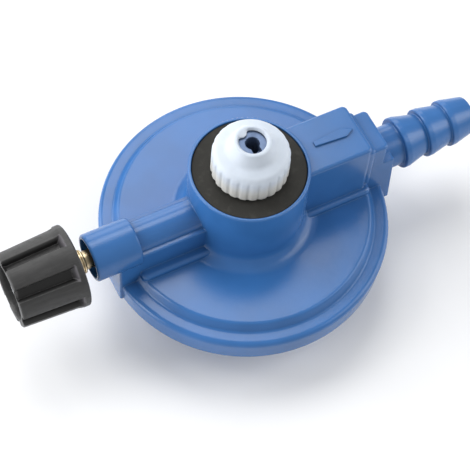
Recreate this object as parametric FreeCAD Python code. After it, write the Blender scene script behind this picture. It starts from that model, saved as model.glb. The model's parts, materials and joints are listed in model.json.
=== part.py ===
import FreeCAD, Part
import math
import os

# Small low-pressure gas regulator that screws onto a camping cylinder. It lies on its cover.
# Frame: origin at the centre of the cover's flat end face, +Z up towards the inlet stud,
# +X towards the hose nozzle, tap knob on the -X side. Millimetres.

V = FreeCAD.Vector
ALONG_X = V(1, 0, 0)
ALONG_Z = V(0, 0, 1)

# Driving dimensions -----------------------------------------------------------------------
FLANGE_R = 42.5            # round body, at its widest
SKIRT_R = 41.9             # the skirt tapers slightly towards the turned-in lip
LIP_Z = 11.8               # underside of the turned-in lip
FLANGE_Z = 20.0            # top of the outer flange ring
PLATEAU_Z = 22.6           # top of the raised dish
PLATEAU_R = 36.6
BOSS_R = 17.2
BOSS_Z = 45.7              # rim of the central boss
GASKET_FLOOR_Z = 43.3
GASKET_TOP_Z = 45.3

STUD_R = 8.0               # M16 x 1.5 inlet stud
STUD_PITCH = 1.5
STUD_TOP_Z = 54.8
PROBE_R = 4.4
PROBE_TOP_Z = 58.4

CAP_R = 10.6
CAP_TOP_Z = 59.7
CAP_HOLE_R = 3.85
CAP_BORE_R = 8.08          # runs over the crests of the stud's thread
CAP_BOTTOM_Z = 45.6

TAP_Z = 31.5               # height of the tap's axis
STUB_R = 7.0
STUB_BORE_R = 5.9          # open end of the stub, in front of the gland
STUB_END_X = -49.3
HOUSING_END_X = -35.5
KNOB_R = 12.0              # plain ring at the knob's inner end
KNOB_BODY_R = 11.6         # fluted body, where it meets the ring
KNOB_TIP_R = 10.8          # fluted body at its outer end
KNOB_INNER_X = -53.6
KNOB_OUTER_X = -73.2
KNOB_FLUTES = 7
FIRST_FLUTE_DEG = 14       # turn of the first flute from the top
SPINDLE_R = 3.5
NECK_OF_SPINDLE_R = 2.7
DRIVE_R = 3.0              # end of the spindle that turns the knob
DRIVE_FLAT = 2.4           # distance of its two flats from the axis
GLAND_R = 5.0
CHAMBER_R = 3.95
GLAND_END_X = -36.5        # inner end of the gland
GLAND_FACE_X = -45.0
ORING_X = -40.0
BARREL_R = 5.15            # the arm behind the stub is slimmer than the stub
SHOULDER_HALF_Y = 6.4
SHOULDER_Z = 32.55
SEAT_X = -9.3              # crest of the seat lip that the tap's pad closes on

NOZZLE_Z = 26.0            # height of the hose nozzle's axis
NOZZLE_TIP_X = 74.5
NOZZLE_BORE_R = 4.0
NECK_R = 6.4
RIDGES = ((49.7, 7.8), (58.0, 7.4), (66.0, 7.1))   # where each ridge starts, and its radius
RIDGE_LAND = 1.6
RIDGE_VALLEY_R = 6.1
BLOCK_END_X = 35.3
BLOCK_HALF_Y = 8.6
BLOCK_TOP_Z = 44.0
LEDGE_END_X = 42.0
LEDGE_HALF_Y = 7.0
LEDGE_TOP_Z = 39.3
OUTLET_WEB_X = 45.0
OUTLET_WEB_TOP = (7.0, 30.7)       # half width and height at the top of the outlet's web
OUTLET_WEB_FOOT = (8.2, 12.1)      # and at its foot
TAP_WEB_X = -42.6          # flush with the widest point of the flange
FOOT_END_X = 36.4          # the strips along the arms' feet stop at the dish's edge

BEAD_SEAT_Z = 15.6         # shoulder inside the body that the diaphragm's bead seats on
FLANGE_FIT_R = 40.3        # bore of the skirt, around the bead and the cover's flange
COVER_FLANGE_Z = 14.3      # top of the cover's flange
COVER_T = 1.4
COVER_FACE_R = 17.0
ADJUSTER_R = 9.5
PLUG_TOP_Z = 5.0           # face of the adjusting plug that the main spring stands on
PLATE_T = 0.8

PIVOT_X = -8.0             # lever pivot
PIVOT_Z = 19.4
JET_X = -12.0
DIAPHRAGM_TRAVEL = 2.4
LEVER_T = 1.2
PAD_PROUD = 0.8            # how far the valve pad's head stands above the lever
RECESS_Z = 22.4            # ceiling of the recess in the boss, where the jet is screwed in
SHEET_LOW_Z = 15.6         # underside of the diaphragm's centre at rest
SHEET_T = 0.8

LEVER_ARM = -PIVOT_X       # the stem stands on the boss's axis
LEVER_SWING = DIAPHRAGM_TRAVEL / LEVER_ARM
LEVER_REST_DEG = math.degrees(LEVER_SWING)           # the lever is level when the valve is shut
JET_TIP_Z = PIVOT_Z + LEVER_T / 2 + PAD_PROUD + 0.03
SHEET_TOP_Z = SHEET_LOW_Z + SHEET_T
NECK_MID_Z = PIVOT_Z + DIAPHRAGM_TRAVEL              # middle of the stem's neck at rest


# Shape helpers ----------------------------------------------------------------------------
def rounded_wire(corners, place):
    """Closed outline through corners (u, v, radius), each rounded by an arc of its radius."""
    spots = [V(u, v, 0) for u, v, radius in corners]
    starts = []
    middles = []
    ends = []
    for i, (u, v, radius) in enumerate(corners):
        back = (spots[i - 1] - spots[i]).normalize()
        ahead = (spots[(i + 1) % len(spots)] - spots[i]).normalize()
        half = back.getAngle(ahead) / 2
        if radius == 0:
            starts.append(spots[i])
            middles.append(None)
            ends.append(spots[i])
            continue
        reach = radius / math.tan(half)
        towards = (back + ahead).normalize()
        starts.append(spots[i] + back * reach)
        middles.append(spots[i] + towards * (radius / math.sin(half) - radius))
        ends.append(spots[i] + ahead * reach)
    edges = []
    for i in range(len(corners)):
        if middles[i] is not None:
            arc = Part.Arc(place(starts[i]), place(middles[i]), place(ends[i]))
            edges.append(arc.toShape())
        following = starts[(i + 1) % len(corners)]
        if (following - ends[i]).Length > 1e-6:
            edges.append(Part.LineSegment(place(ends[i]), place(following)).toShape())
    return Part.Wire(edges)


def plain(points):
    """Corners with no rounding."""
    return [(u, v, 0) for u, v in points]


def turned_z(corners, x=0.0, y=0.0):
    """Solid of revolution about an upright axis; corners are (radius, height, rounding)."""
    wire = rounded_wire(corners, lambda p: V(x + p.x, y, p.y))
    return Part.Face(wire).revolve(V(x, y, 0), ALONG_Z, 360)


def turned_x(corners, axis_z):
    """Solid of revolution about a level axis along X; corners are (x, radius, rounding)."""
    wire = rounded_wire(corners, lambda p: V(p.x, 0, axis_z + p.y))
    return Part.Face(wire).revolve(V(0, 0, axis_z), ALONG_X, 360)


def disc_z(radius, low, high, x=0.0, y=0.0):
    return Part.makeCylinder(radius, high - low, V(x, y, low), ALONG_Z)


def disc_x(radius, low, high, axis_z):
    return Part.makeCylinder(radius, high - low, V(low, 0, axis_z), ALONG_X)


def block(x0, x1, half_y, z0, z1):
    return Part.makeBox(x1 - x0, 2 * half_y, z1 - z0, V(x0, -half_y, z0))


def soft_block(x0, x1, half_y, z0, z1, corner, top):
    """Block with rounded upright corners, then rounded top edges."""
    body = block(x0, x1, half_y, z0, z1)
    upright = [e for e in body.Edges if abs(e.tangentAt(e.FirstParameter).z) > 0.99]
    body = body.makeFillet(corner, upright)
    top_edges = [e for e in body.Edges if e.BoundBox.ZMin > z1 - 0.01]
    return body.makeFillet(top, top_edges)


def hexagon(across_flats, z0, z1, x=0.0, y=0.0):
    """Upright six-sided prism."""
    corner_r = across_flats / math.sqrt(3)
    turns = [math.radians(60 * k) for k in range(7)]
    points = [V(x + corner_r * math.cos(a), y + corner_r * math.sin(a), z0) for a in turns]
    return Part.Face(Part.makePolygon(points)).extrude(V(0, 0, z1 - z0))


def fused(first, *others):
    return first.multiFuse(list(others)).removeSplitter()


def thread_grooves(crest_r, pitch, low, high):
    """Rings of V section, one per pitch, that cut the look of a thread into a shaft."""
    depth = 0.6 * pitch
    rings = []
    for k in range(int((high - low) / pitch)):
        z = low + (k + 0.5) * pitch
        half = 0.55 * pitch
        section = [(crest_r - depth, z), (crest_r + 0.2, z - half), (crest_r + 0.2, z + half)]
        rings.append(turned_z(plain(section)))
    return Part.makeCompound(rings)


# Body casting -----------------------------------------------------------------------------
def dish_and_boss():
    """Outer skin of the round body: skirt, flange ring, raised dish and central boss."""
    return turned_z([
        (0, LIP_Z, 0),
        (SKIRT_R, LIP_Z, 0.5),
        (FLANGE_R, FLANGE_Z, 1.5),
        (38.2, FLANGE_Z, 0.8),
        (PLATEAU_R, PLATEAU_Z, 1.0),
        (BOSS_R, PLATEAU_Z - 0.2, 4.2),
        (BOSS_R, BOSS_Z, 0.35),
        (16.3, BOSS_Z, 0.15),
        (16.3, GASKET_FLOOR_Z, 0),
        (0, GASKET_FLOOR_Z, 0),
    ])


def inlet_stud():
    """Threaded stud with a lead-in chamfer."""
    stud = turned_z([
        (0, GASKET_FLOOR_Z - 1, 0),
        (STUD_R, GASKET_FLOOR_Z - 1, 0),
        (STUD_R, STUD_TOP_Z - 0.9, 0),
        (STUD_R - 0.9, STUD_TOP_Z, 0),
        (0, STUD_TOP_Z, 0),
    ])
    return stud.cut(thread_grooves(STUD_R, STUD_PITCH, GASKET_TOP_Z + 0.4, STUD_TOP_Z - 0.4))


def outlet_web():
    """Web under the hose nozzle's neck, wider at its foot, with its end corners rounded."""
    top_y, top_z = OUTLET_WEB_TOP
    foot_y, foot_z = OUTLET_WEB_FOOT
    corners = [(-top_y, top_z), (top_y, top_z), (foot_y, foot_z), (-foot_y, foot_z), (-top_y, top_z)]
    section = Part.Face(Part.makePolygon([V(28, y, z) for y, z in corners]))
    web = section.extrude(V(OUTLET_WEB_X - 28, 0, 0))
    end_edges = [e for e in web.Edges
                 if e.BoundBox.XMin > OUTLET_WEB_X - 0.01 and e.BoundBox.ZMax > foot_z + 1]
    return web.makeFillet(0.5, end_edges)


def outlet_arm():
    """Tall block, its lower ledge, the web below and the strip along its foot."""
    tower = soft_block(8, BLOCK_END_X, BLOCK_HALF_Y, FLANGE_Z, BLOCK_TOP_Z, 1.6, 0.9)
    ledge = soft_block(28, LEDGE_END_X, LEDGE_HALF_Y, FLANGE_Z - 2, LEDGE_TOP_Z, 1.4, 0.8)
    step = soft_block(28, BLOCK_END_X + 2.2, LEDGE_HALF_Y + 0.7, FLANGE_Z, LEDGE_TOP_Z + 1.2, 1.4, 0.8)
    foot = soft_block(12, FOOT_END_X, 10.4, FLANGE_Z - 1, PLATEAU_Z + 1.7, 1.8, 1.2)
    return fused(tower, ledge, step, foot, outlet_web())


def flow_arrow():
    """Raised dart on top of the block that points along the gas flow."""
    outline = [(20.6, -0.8), (30.4, -1.5), (33.0, 0), (30.4, 1.5), (20.6, 0.8), (20.6, -0.8)]
    wire = Part.makePolygon([V(x, y, BLOCK_TOP_Z - 0.3) for x, y in outline])
    return Part.Face(wire).extrude(V(0, 0, 0.9))


def hose_nozzle():
    """Round neck and three hose ridges, each a short land and a cone that narrows outwards."""
    corners = [(30, 0, 0), (30, NECK_R, 0)]
    for start, ridge_r in RIDGES:
        corners.append((start, RIDGE_VALLEY_R if start > RIDGES[0][0] else NECK_R, 0.25))
        corners.append((start, ridge_r, 0.3))
        corners.append((start + RIDGE_LAND, ridge_r, 0.4))
    corners += [(NOZZLE_TIP_X, 5.6, 0.7), (NOZZLE_TIP_X, 0, 0)]
    return turned_x(corners, NOZZLE_Z)


def tap_arm():
    """Stub for the tap, then a slimmer barrel with a shoulder on each side, foot strip and web."""
    stub = turned_x([(HOUSING_END_X, 0, 0), (HOUSING_END_X, STUB_R, 0.6), (STUB_END_X, STUB_R, 0.7),
                     (STUB_END_X, 0, 0)], TAP_Z)
    barrel = turned_x(plain([(-11, 0), (-11, BARREL_R), (HOUSING_END_X - 1, BARREL_R),
                             (HOUSING_END_X - 1, 0)]), TAP_Z)
    shoulder = soft_block(HOUSING_END_X - 1, -10, SHOULDER_HALF_Y, FLANGE_Z, SHOULDER_Z, 0.5, 0.45)
    foot = soft_block(-FOOT_END_X, -12, 9.2, FLANGE_Z - 1, PLATEAU_Z + 1.9, 1.8, 1.2)
    web = soft_block(TAP_WEB_X, -12, SHOULDER_HALF_Y - 0.02, LIP_Z + 1.2, TAP_Z, 0.5, 0.4)
    return fused(stub, barrel, shoulder, foot, web)


def inner_space():
    """Gas chamber under the dish, the skirt's bore and the opening inside the lip."""
    return turned_z([
        (0, LIP_Z - 1, 0),
        (38.9, LIP_Z - 1, 0),
        (38.9, LIP_Z + 1.0, 0),
        (FLANGE_FIT_R, LIP_Z + 1.0, 0),
        (FLANGE_FIT_R, BEAD_SEAT_Z, 0),
        (36.4, BEAD_SEAT_Z, 0.3),
        (34.6, FLANGE_Z, 1.5),
        (15.0, FLANGE_Z, 0.5),
        (15.0, RECESS_Z, 0),
        (6.0, RECESS_Z, 0.3),
        (6.0, RECESS_Z + 2.8, 1.0),
        (0, RECESS_Z + 2.8, 0),
    ])


def gas_ways():
    """Drilled and cored ways from the stud, through the tap and the jet, to the nozzle."""
    inlet = disc_z(1.5, TAP_Z, GASKET_FLOOR_Z + 3)
    filter_pocket = disc_z(3.4, 44.6, STUD_TOP_Z + 1)
    seat_way = disc_x(1.2, SEAT_X - 1, 1.2, TAP_Z)
    chamber = disc_x(CHAMBER_R, GLAND_END_X - 1, SEAT_X + 0.6, TAP_Z)
    gland_bore = disc_x(GLAND_R, STUB_END_X - 1, GLAND_END_X, TAP_Z)
    end_recess = disc_x(STUB_BORE_R, STUB_END_X - 1, GLAND_FACE_X + 0.6, TAP_Z)
    jet_feed = disc_z(1.0, 25, TAP_Z, JET_X)
    jet_bore = disc_z(2.5, RECESS_Z - 1, 26.1, JET_X)
    block_core = soft_block(21, 32.6, 6.0, FLANGE_Z - 1, BLOCK_TOP_Z - 2.8, 1.5, 1.5)
    nozzle_bore = disc_x(NOZZLE_BORE_R, 26, NOZZLE_TIP_X + 1, NOZZLE_Z)
    return [inlet, filter_pocket, seat_way, chamber, gland_bore, end_recess,
            jet_feed, jet_bore, block_core, nozzle_bore]


def seat_lip():
    """Raised ring round the seat's hole."""
    ring = disc_x(2.0, SEAT_X, SEAT_X + 1, TAP_Z)
    return ring.cut(disc_x(1.2, SEAT_X - 1, SEAT_X + 2, TAP_Z))


def pivot_lugs():
    """Two ears under the boss that hold the lever's pin."""
    lugs = []
    for side in (-1, 1):
        height = RECESS_Z + 0.5 - (PIVOT_Z - 2.2)
        ear = Part.makeBox(4.4, 2.0, height, V(PIVOT_X - 2.2, side * 4.2 - 1.0, PIVOT_Z - 2.2))
        low = [e for e in ear.Edges if e.BoundBox.ZMax < PIVOT_Z - 2.1 and e.BoundBox.YLength > 1.9]
        lugs.append(ear.makeFillet(2.0, low))
    return lugs


def make_body():
    outside = fused(dish_and_boss(), outlet_arm(), flow_arrow(), hose_nozzle(), tap_arm())
    gasket_space = disc_z(16.3, GASKET_FLOOR_Z, BOSS_Z + 1)
    outside = outside.cut(gasket_space)
    outside = fused(outside, inlet_stud())
    hollow = outside.cut([inner_space()] + gas_ways())
    hollow = fused(hollow, seat_lip(), *pivot_lugs())
    return hollow.cut(Part.makeCylinder(1.0, 14, V(PIVOT_X, -7, PIVOT_Z), V(0, 1, 0)))


# Cover and what it holds ------------------------------------------------------------------
def make_cover():
    """Pressed cover: flange, sloping wall, flat end with a threaded sleeve, and a breather hole."""
    shell = turned_z([
        (40.1, COVER_FLANGE_Z, 0),
        (40.1, LIP_Z + 1.0, 0),
        (37.8, LIP_Z + 1.0, 0.8),
        (36.4, 8.2, 2.4),
        (20.2, 5.4, 1.2),
        (COVER_FACE_R + 1.6, 0, 1.6),
        (ADJUSTER_R + 0.05, 0, 0),
        (ADJUSTER_R + 0.05, 6.6, 0),
        (ADJUSTER_R + 1.5, 6.6, 0),
        (ADJUSTER_R + 1.5, COVER_T, 0.5),
        (COVER_FACE_R - 0.2, COVER_T, 1.0),
        (19.2, 5.4 + COVER_T, 1.2),
        (35.2, 8.2 + COVER_T, 1.4),
        (36.4, COVER_FLANGE_Z, 0.8),
    ])
    return shell.cut(disc_z(0.9, 0, 12, 27.0, 0))


def make_adjusting_plug():
    """Threaded disc that the main spring stands on, with a wrench socket below."""
    plug = disc_z(ADJUSTER_R, 1.9, PLUG_TOP_Z)
    rim = disc_z(6.0, PLUG_TOP_Z - 0.6, PLUG_TOP_Z + 1.0).cut(hexagon(8.0, 1, 7))
    return fused(plug.cut(hexagon(8.0, 1, 7)), rim)


def make_seal_plug():
    """Plastic disc that closes the sleeve below the adjusting plug."""
    plug = turned_z([
        (0, 0, 0),
        (ADJUSTER_R, 0, 0.3),
        (ADJUSTER_R, 1.5, 0),
        (0, 1.5, 0),
    ])
    return plug.cut(turned_z(plain([(5.2, -0.2), (6.4, -0.2), (6.4, 0.4), (5.2, 0.4)])))


def soft_path(points):
    """Straight runs through the points, joined by tangent arcs of nearly half a run's reach."""
    edges = []
    last = points[0]
    for before, corner, after in zip(points, points[1:], points[2:]):
        back = (before - corner).normalize()
        ahead = (after - corner).normalize()
        half = back.getAngle(ahead) / 2
        reach = 0.48 * min((before - corner).Length, (after - corner).Length)
        radius = reach * math.tan(half)
        middle = corner + (back + ahead).normalize() * (radius / math.sin(half) - radius)
        edges.append(Part.LineSegment(last, corner + back * reach).toShape())
        edges.append(Part.Arc(corner + back * reach, middle, corner + ahead * reach).toShape())
        last = corner + ahead * reach
    edges.append(Part.LineSegment(last, points[-1]).toShape())
    return Part.Wire(edges)


def make_main_spring():
    """Round-wire compression spring between the adjusting plug and the diaphragm plate."""
    wire_r = 0.6
    coil_r = 7.6
    low = PLUG_TOP_Z + wire_r + 0.1
    high = SHEET_LOW_Z - PLATE_T - wire_r - 0.15
    per_turn = 12
    steps = 43
    points = []
    for k in range(steps + 1):
        angle = 2 * math.pi * k / per_turn
        points.append(V(coil_r * math.cos(angle), coil_r * math.sin(angle), low + (high - low) * k / steps))
    path = soft_path(points)
    section = Part.Wire(Part.Circle(points[0], points[1] - points[0], wire_r).toShape())
    return path.makePipe(Part.Face(section))


# Diaphragm, its plate and stem ------------------------------------------------------------
def make_diaphragm():
    """Rubber sheet with a hole for the stem, one roll and a thick rim bead."""
    bead_low = COVER_FLANGE_Z
    return turned_z([
        (2.05, SHEET_LOW_Z, 0),
        (23.2, SHEET_LOW_Z, 1.6),
        (26.4, 12.6, 2.6),
        (33.6, 12.6, 1.8),
        (35.6, bead_low, 0.3),
        (40.1, bead_low, 0),
        (40.1, BEAD_SEAT_Z, 0),
        (36.9, BEAD_SEAT_Z, 0.2),
        (36.9, bead_low + SHEET_T, 0.1),
        (35.3, bead_low + SHEET_T, 0.5),
        (33.3, 12.6 + SHEET_T, 1.0),
        (26.8, 12.6 + SHEET_T, 1.8),
        (23.6, SHEET_LOW_Z + SHEET_T, 2.4),
        (2.05, SHEET_LOW_Z + SHEET_T, 0),
    ])


def make_diaphragm_plate():
    """Dished washer under the sheet, with a collar that centres the spring."""
    top = SHEET_LOW_Z
    under = top - PLATE_T
    return turned_z([
        (2.05, top, 0),
        (22.0, top, 0.8),
        (22.0, top - 2.2, 0),
        (21.2, top - 2.2, 0),
        (21.2, under, 0.3),
        (6.4, under, 0.2),
        (6.4, under - 1.0, 0.2),
        (5.6, under - 1.0, 0.2),
        (5.6, under, 0.2),
        (2.05, under, 0),
    ])


def make_diaphragm_stem():
    """Stem: threaded shank, broad collar on the sheet, neck for the lever's fork, top collar."""
    gap = 1.7
    return turned_z([
        (0, SHEET_LOW_Z - 4.4, 0),
        (2.0, SHEET_LOW_Z - 4.4, 0.4),
        (2.0, SHEET_TOP_Z, 0),
        (5.0, SHEET_TOP_Z, 0),
        (5.0, SHEET_TOP_Z + 0.8, 0.4),
        (3.4, SHEET_TOP_Z + 0.8, 0.3),
        (3.2, NECK_MID_Z - gap, 0),
        (1.5, NECK_MID_Z - gap, 0.2),
        (1.5, NECK_MID_Z + gap, 0.2),
        (3.2, NECK_MID_Z + gap, 0),
        (3.2, NECK_MID_Z + gap + 0.8, 0.3),
        (0, NECK_MID_Z + gap + 0.8, 0),
    ])


def make_stem_nut():
    """Nut that clamps plate and sheet against the stem's collar."""
    top = SHEET_LOW_Z - PLATE_T
    return hexagon(7.0, top - 2.6, top).cut(disc_z(2.0, 5, 20))


# Lever and jet ----------------------------------------------------------------------------
def tilted(shape):
    """Turn a lever piece from level to its rest angle, valve end down and fork end up."""
    turned = shape.copy()
    turned.rotate(V(PIVOT_X, 0, PIVOT_Z), V(0, 1, 0), -LEVER_REST_DEG)
    return turned


def make_lever():
    """Flat lever: fork round the stem's neck, eye for the pin, and an eye for the valve pad."""
    low = PIVOT_Z - LEVER_T / 2
    arm = Part.makeBox(LEVER_ARM + 3.0, 4.2, LEVER_T, V(PIVOT_X, -2.1, low))
    fork = disc_z(4.4, low, low + LEVER_T)
    pad_eye = disc_z(2.5, low, low + LEVER_T, JET_X)
    waist = Part.makeBox(PIVOT_X - JET_X, 3.6, LEVER_T, V(JET_X, -1.8, low))
    hub = Part.makeCylinder(1.6, 5.4, V(PIVOT_X, -2.7, PIVOT_Z), V(0, 1, 0))
    plate = fused(arm, fork, pad_eye, waist, hub)
    slot_end = disc_z(2.0, low - 1, low + LEVER_T + 1)
    slot = Part.makeBox(8, 4.0, LEVER_T + 2, V(0, -2.0, low - 1))
    pin_hole = Part.makeCylinder(1.04, 8, V(PIVOT_X, -4, PIVOT_Z), V(0, 1, 0))
    pad_hole = disc_z(1.4, low - 1, low + LEVER_T + 1, JET_X)
    return tilted(plate.cut([slot_end, slot, pin_hole, pad_hole]))


def make_lever_pin():
    """Plain pin pressed through both ears."""
    return Part.makeCylinder(1.0, 10.8, V(PIVOT_X, -5.4, PIVOT_Z), V(0, 1, 0))


def make_valve_pad():
    """Rubber button snapped into the lever's eye; its face closes the jet."""
    half = LEVER_T / 2
    pad = turned_z([
        (0, PIVOT_Z - half - 0.4, 0),
        (1.7, PIVOT_Z - half - 0.4, 0.15),
        (1.7, PIVOT_Z - half, 0),
        (1.4, PIVOT_Z - half, 0),
        (1.4, PIVOT_Z + half, 0),
        (2.1, PIVOT_Z + half, 0),
        (2.1, PIVOT_Z + half + PAD_PROUD, 0.15),
        (0, PIVOT_Z + half + PAD_PROUD, 0),
    ], x=JET_X)
    return tilted(pad)


def make_jet():
    """Brass jet: threaded body, hexagon, and a small raised mouth that faces the valve pad."""
    head_low = RECESS_Z - 0.8
    body = disc_z(2.5, RECESS_Z, RECESS_Z + 3.6, JET_X)
    head = hexagon(4.8, head_low, RECESS_Z, JET_X)
    mouth = turned_z(plain([(0, head_low), (2.1, head_low), (1.0, JET_TIP_Z), (0, JET_TIP_Z)]), x=JET_X)
    return fused(body, head, mouth).cut(disc_z(0.5, 20, 27, JET_X))


# Inlet ------------------------------------------------------------------------------------
def make_inlet_gasket():
    """Flat sealing ring in the top of the boss."""
    return turned_z([
        (STUD_R + 0.15, GASKET_FLOOR_Z, 0),
        (16.2, GASKET_FLOOR_Z, 0),
        (16.2, GASKET_TOP_Z, 0.35),
        (STUD_R + 0.15, GASKET_TOP_Z, 0.3),
    ])


def make_inlet_filter():
    """Sintered disc at the bottom of the stud's bore."""
    return disc_z(3.4, 44.6, 46.8)


def make_inlet_probe():
    """Plated nose pressed into the stud. It opens the cylinder's valve, and is slotted for gas."""
    probe = turned_z([
        (2.0, 47.4, 0),
        (3.4, 47.4, 0.3),
        (3.4, STUD_TOP_Z, 0),
        (PROBE_R, STUD_TOP_Z, 0),
        (PROBE_R, PROBE_TOP_Z, 0.5),
        (2.0, PROBE_TOP_Z, 0.2),
    ])
    slot_w = 2.6
    return probe.cut(Part.makeBox(slot_w, 12, 4, V(-slot_w / 2, -12, PROBE_TOP_Z - 2.6)))


def make_inlet_cap():
    """Soft cap over the stud: ribbed skirt, rounded shoulder and a raised collar with a hole."""
    cap = turned_z([
        (CAP_BORE_R, CAP_BOTTOM_Z, 0),
        (CAP_R, CAP_BOTTOM_Z, 0.3),
        (CAP_R, 54.9, 2.0),
        (7.1, 56.2, 2.2),
        (5.1, CAP_TOP_Z, 0.7),
        (CAP_HOLE_R, CAP_TOP_Z, 0.4),
        (CAP_HOLE_R, PROBE_TOP_Z + 0.3, 0),
        (PROBE_R + 0.35, PROBE_TOP_Z + 0.3, 0),
        (PROBE_R + 0.35, STUD_TOP_Z + 0.35, 0),
        (CAP_BORE_R, STUD_TOP_Z + 0.35, 0),
    ])
    ribs = []
    rib_count = 36
    for k in range(rib_count):
        angle = math.radians(360 * k / rib_count)
        x = (CAP_R - 0.05) * math.cos(angle)
        y = (CAP_R - 0.05) * math.sin(angle)
        ribs.append(turned_z([
            (0, CAP_BOTTOM_Z + 0.5, 0),
            (0.42, CAP_BOTTOM_Z + 0.5, 0.2),
            (0.42, 53.2, 0.3),
            (0, 53.2, 0),
        ], x=x, y=y))
    lug_angle = math.radians(112)
    lug = disc_z(0.85, PROBE_TOP_Z + 0.5, CAP_TOP_Z - 0.3,
                 CAP_HOLE_R * math.cos(lug_angle), CAP_HOLE_R * math.sin(lug_angle))
    return fused(cap, lug, *ribs)


# Tap --------------------------------------------------------------------------------------
def make_tap_pad():
    """Rubber disc that closes the seat; its stalk sits in the spindle's nose and doesn't turn."""
    face_x = SEAT_X - 0.1
    return turned_x([
        (face_x, 0, 0),
        (face_x, 2.9, 0.3),
        (face_x - 1.8, 2.9, 0.2),
        (face_x - 1.8, 1.2, 0),
        (face_x - 4.0, 1.2, 0.3),
        (face_x - 4.0, 0, 0),
    ], TAP_Z)


def make_tap_spindle():
    """Brass spindle: nose, stop collar, threaded shank, ringed neck and a drive end with two flats."""
    nose_x = SEAT_X - 2.2
    pocket_x = nose_x - 2.7
    collar_x = GLAND_END_X + 1.8
    hub_x = STUB_END_X - 1.7
    shank_end_x = KNOB_INNER_X - 0.2
    drive_end_x = -66.0
    spindle = turned_x([
        (nose_x, 1.26, 0),
        (nose_x, 3.0, 0.3),
        (collar_x + 2.4, 3.0, 0),
        (collar_x + 2.4, 3.75, 0.2),
        (collar_x, 3.75, 0.2),
        (collar_x, SPINDLE_R, 0),
        (GLAND_FACE_X, SPINDLE_R, 0.3),
        (GLAND_FACE_X, NECK_OF_SPINDLE_R, 0.3),
        (hub_x, NECK_OF_SPINDLE_R, 0.3),
        (hub_x, SPINDLE_R, 0.3),
        (shank_end_x, SPINDLE_R, 0.2),
        (shank_end_x, DRIVE_R, 0),
        (drive_end_x, DRIVE_R, 0.4),
        (drive_end_x, 0, 0),
        (pocket_x, 0, 0),
        (pocket_x, 1.26, 0),
    ], TAP_Z)
    rings = []
    for k in range(3):
        x = hub_x - 0.7 - k * 0.7
        rings.append(turned_x(plain([(x - 0.25, 3.7), (x, 3.2), (x + 0.25, 3.7)]), TAP_Z))
    flats = drive_flats(drive_end_x - 0.1, DRIVE_FLAT, 4.5)
    screw_hole = disc_x(1.25, -67, -58, TAP_Z)
    return spindle.cut(rings + flats + [screw_hole])


def drive_flats(outer_x, near, far):
    """Two slabs, one each side of the tap's axis, that reach from near to far above and below it."""
    slabs = []
    for side in (-1, 1):
        low = TAP_Z + min(side * near, side * far)
        slabs.append(block(outer_x, KNOB_INNER_X - 3.0, 4, low, low + far - near))
    return slabs


def make_tap_gland():
    """Brass bush screwed into the stub; the spindle turns in it on a thread."""
    gland = turned_x([
        (GLAND_END_X, SPINDLE_R + 0.05, 0.2),
        (GLAND_END_X, GLAND_R, 0.4),
        (GLAND_FACE_X + 0.6, GLAND_R, 0),
        (GLAND_FACE_X + 0.6, 5.6, 0),
        (GLAND_FACE_X, 5.6, 0.2),
        (GLAND_FACE_X, SPINDLE_R + 0.05, 0.2),
    ], TAP_Z)
    groove = disc_x(4.5, ORING_X - 0.6, ORING_X + 0.6, TAP_Z)
    slot = block(GLAND_FACE_X - 1, GLAND_FACE_X + 0.5, 0.7, TAP_Z - 6, TAP_Z + 6)
    return gland.cut([groove, slot])


def make_tap_oring():
    """O-ring in the gland's groove."""
    return Part.makeTorus(4.02, 0.48, V(ORING_X, 0, TAP_Z), ALONG_X)


def knob_flutes():
    """Grip grooves along the knob, each with a sloping end short of the inner edge."""
    cutters = []
    width = 3.8
    depth = 2.0
    tip_x = KNOB_OUTER_X - 1
    stop_x = KNOB_INNER_X - 1.4
    for k in range(KNOB_FLUTES):
        section = [
            V(tip_x, 0, KNOB_TIP_R - depth),
            V(stop_x - 1.8, 0, KNOB_BODY_R - depth),
            V(stop_x, 0, KNOB_R + 0.6),
            V(tip_x, 0, KNOB_R + 0.6),
            V(tip_x, 0, KNOB_TIP_R - depth),
        ]
        cutter = Part.Face(Part.makePolygon(section)).extrude(V(0, width, 0))
        cutter.translate(V(0, -width / 2, 0))
        floor = [e for e in cutter.Edges
                 if e.BoundBox.XLength > 5 and e.BoundBox.ZMax < KNOB_BODY_R - depth + 0.01]
        cutter = cutter.makeFillet(0.7, floor)
        cutter.rotate(V(0, 0, 0), ALONG_X, FIRST_FLUTE_DEG + k * 360 / KNOB_FLUTES)
        cutter.translate(V(0, 0, TAP_Z))
        cutters.append(cutter)
    return cutters


def make_tap_knob():
    """Fluted knob with a recessed outer face, a hub round the screw and a hollow inner end."""
    knob = turned_x([
        (KNOB_INNER_X, 4.0, 0.3),
        (KNOB_INNER_X, KNOB_R, 0.5),
        (KNOB_INNER_X - 1.8, KNOB_R, 0.6),
        (KNOB_INNER_X - 3.6, KNOB_BODY_R, 0.6),
        (KNOB_OUTER_X, KNOB_TIP_R, 0.6),
        (KNOB_OUTER_X, 8.3, 0.3),
        (KNOB_OUTER_X + 4.5, 8.1, 0.8),
        (KNOB_OUTER_X + 4.5, 4.6, 0.4),
        (KNOB_OUTER_X + 3.2, 4.6, 0.4),
        (KNOB_OUTER_X + 3.2, 0, 0),
        (-66.0, 0, 0),
        (-66.0, 3.0, 0),
        (KNOB_INNER_X - 3.0, 3.0, 0),
        (KNOB_INNER_X - 3.0, 4.0, 0),
    ], TAP_Z)
    drive_bore = disc_x(DRIVE_R, -66.0, KNOB_INNER_X - 3.0, TAP_Z)
    flats = [slab.common(drive_bore) for slab in drive_flats(-66.0, DRIVE_FLAT + 0.02, 3.2)]
    knob = fused(knob, *flats)
    return knob.cut(knob_flutes() + [disc_x(1.3, -75, -65, TAP_Z)])


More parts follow.
